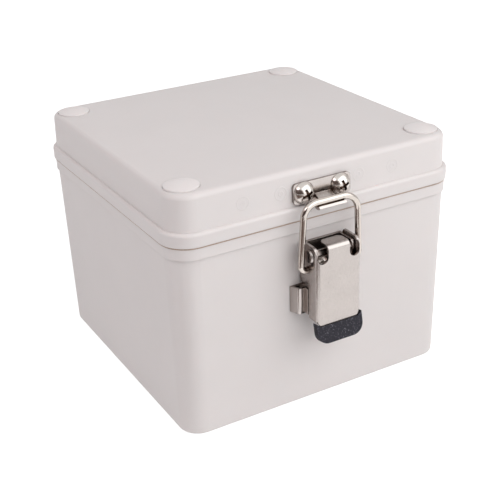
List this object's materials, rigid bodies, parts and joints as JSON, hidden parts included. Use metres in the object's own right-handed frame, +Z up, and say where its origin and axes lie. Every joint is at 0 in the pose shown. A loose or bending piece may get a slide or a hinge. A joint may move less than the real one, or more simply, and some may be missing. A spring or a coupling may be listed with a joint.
{
  "type": "abs enclosure",
  "caption": "Square moulded enclosure with drafted walls, hinged lid, domed corner caps and a draw latch whose lever pulls a wire bail off a hook.",
  "frame": {"origin": "centre of the base's underside", "axes": "+Z up through the lid, -Y out of the front that carries the latch, +X to the right seen from the front"},
  "size_m": [0.125, 0.1432, 0.1001],
  "materials": {
    "abs": "fine satin moulded texture, pale warm grey",
    "steel_sheet": "bright stainless sheet and wire, polished",
    "steel_fasteners": "bright plated steel",
    "seal": "matt brown foamed rubber",
    "grip": "dark slate dipped plastic, fine grained"
  },
  "bodies": {
    "base": {"base_box": "abs", "latch_bracket": "steel_sheet", "latch_screws": "steel_fasteners", "latch_nuts": "steel_fasteners", "pivot_rivet": "steel_fasteners", "hinge_left_base_leaf": "steel_sheet", "hinge_left_pin": "steel_fasteners", "hinge_right_base_leaf": "steel_sheet", "hinge_right_pin": "steel_fasteners", "hinge_base_screws": "steel_fasteners", "hinge_base_nuts": "steel_fasteners"},
    "lid": {"lid": "abs", "lid_seal": "seal", "cap_front_left": "abs", "cap_front_right": "abs", "cap_rear_left": "abs", "cap_rear_right": "abs", "keeper_plate": "steel_sheet", "keeper_screws": "steel_fasteners", "keeper_nuts": "steel_fasteners", "hinge_left_lid_leaf": "steel_sheet", "hinge_right_lid_leaf": "steel_sheet", "hinge_lid_screws": "steel_fasteners", "hinge_lid_nuts": "steel_fasteners"},
    "lever": {"latch_lever": "steel_sheet", "lever_grip": "grip"},
    "bail": {"bail_wire": "steel_sheet"}
  },
  "joints": [
    {"name": "lid_hinge", "type": "hinge", "parent": "base", "child": "lid", "pos_m": [0, 0.0655, 0.079], "axis": [-1, 0, 0], "range_deg": [0, 180]},
    {"name": "latch_pivot", "type": "hinge", "parent": "base", "child": "lever", "pos_m": [-0.001, -0.0685, 0.0671], "axis": [-1, 0, 0], "range_deg": [0, 90]},
    {"name": "bail_pivot", "type": "hinge", "parent": "lever", "child": "bail", "pos_m": [-0.001, -0.067, 0.061], "axis": [-1, 0, 0], "range_deg": [-72, 0]}
  ],
  "couplings": [
    {"joint": "bail_pivot", "follows": "latch_pivot", "ratio": -0.8}
  ]
}
